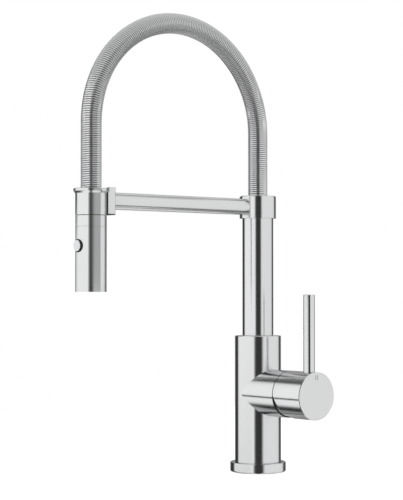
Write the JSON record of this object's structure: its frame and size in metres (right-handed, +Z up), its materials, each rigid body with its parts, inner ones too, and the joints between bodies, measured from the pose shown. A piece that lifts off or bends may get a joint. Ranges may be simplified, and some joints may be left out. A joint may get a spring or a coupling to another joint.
{
  "type": "kitchen faucet",
  "caption": "Kitchen faucet with a spring-wound high-arc spout, a pull-down spray head docked in a side arm of its column, and a tilting lever knob with a slender pin.",
  "frame": {"origin": "centre of the base ring's underside, where it meets the deck, on the axis of the shank", "axes": "+Z up along the column, -Y the way the spout and arm point over the sink, +X the side of the lever knob"},
  "size_m": [0.1128, 0.2466, 0.5015],
  "materials": {
    "brushed_steel": "satin, brushed",
    "button_steel": "satin",
    "spring_wire": "bright drawn wire",
    "inner_steel": "plain",
    "plated_steel": "zinc plated",
    "magnet": "nickel plated",
    "brass": "machined",
    "black_rubber": "matte",
    "hose_cover": "satin",
    "black_plastic": "fine grain",
    "white_plastic": "matte",
    "ceramic": "lapped"
  },
  "bodies": {
    "base": {"base_ring": "brushed_steel", "base_gasket": "black_rubber", "mounting_shank": "brass", "deck_rubber_washer": "black_rubber", "deck_steel_washer": "plated_steel", "shank_nut": "plated_steel", "mixer_body": "brushed_steel", "swivel_slip_ring": "white_plastic", "swivel_screw": "inner_steel", "cartridge_base": "white_plastic", "cartridge_seals": "black_rubber", "fixed_ceramic_disc": "ceramic", "cartridge_housing": "white_plastic", "cartridge_nut": "brass"},
    "spout": {"swivel_spigot": "brass", "spigot_seals": "black_rubber", "column_tube": "brushed_steel", "arm_collar": "brushed_steel", "spring_seat": "white_plastic", "support_arm": "brushed_steel", "dock_saddle": "brushed_steel", "dock_magnet": "magnet", "spout_spring": "spring_wire", "spray_hose": "hose_cover", "hose_tail": "brass"},
    "hose_end": {"docking_sleeve": "brushed_steel", "sleeve_steel_ring": "inner_steel", "swivel_nipple": "brass", "nipple_seal": "black_rubber"},
    "spray_head": {"head_neck_ring": "brushed_steel", "head_shell": "brushed_steel", "head_core": "white_plastic", "check_valve": "white_plastic", "spray_plate": "black_plastic", "spray_nozzles": "black_rubber", "aerator_insert": "black_plastic", "button_bezel": "black_plastic", "button_spring": "inner_steel"},
    "button": {"diverter_button": "button_steel", "diverter_rod": "inner_steel"},
    "carrier": {"stem_carrier": "white_plastic"},
    "lever": {"cartridge_stem": "inner_steel", "lever_knob": "brushed_steel", "knob_set_screw": "inner_steel", "lever_pin": "brushed_steel"},
    "disc": {"moving_ceramic_disc": "ceramic"}
  },
  "joints": [
    {"name": "spout_swivel", "type": "hinge", "parent": "base", "child": "spout", "pos_m": [0, 0, 0.1346], "axis": [0, 0, 1], "continuous": true},
    {"name": "head_pull", "type": "slide", "parent": "spout", "child": "hose_end", "axis": [0, -0.7071, -0.7071], "range_m": [0, 0.12], "stiffness_N_per_m": 60, "springref_m": -0.06, "deforming": ["spout_spring", "spray_hose"]},
    {"name": "head_spin", "type": "hinge", "parent": "hose_end", "child": "spray_head", "pos_m": [0, -0.2025, 0.2424], "axis": [0, 0, 1], "continuous": true},
    {"name": "button_press", "type": "slide", "parent": "spray_head", "child": "button", "axis": [0, 1, 0], "range_m": [0, 0.0015], "stiffness_N_per_m": 600, "springref_m": -0.002, "deforming": ["button_spring"]},
    {"name": "lever_turn", "type": "hinge", "parent": "base", "child": "carrier", "pos_m": [0.038, 0, 0.0787], "axis": [1, 0, 0], "range_deg": [-50, 50]},
    {"name": "lever_lift", "type": "hinge", "parent": "carrier", "child": "lever", "pos_m": [0.038, 0, 0.0787], "axis": [0, 1, 0], "range_deg": [0, 20]},
    {"name": "disc_slide", "type": "slide", "parent": "carrier", "child": "disc", "axis": [0, 0, 1], "range_m": [0, 0.0048]}
  ],
  "couplings": [
    {"joint": "disc_slide", "follows": "lever_lift", "m_per_rad": 0.01365}
  ]
}
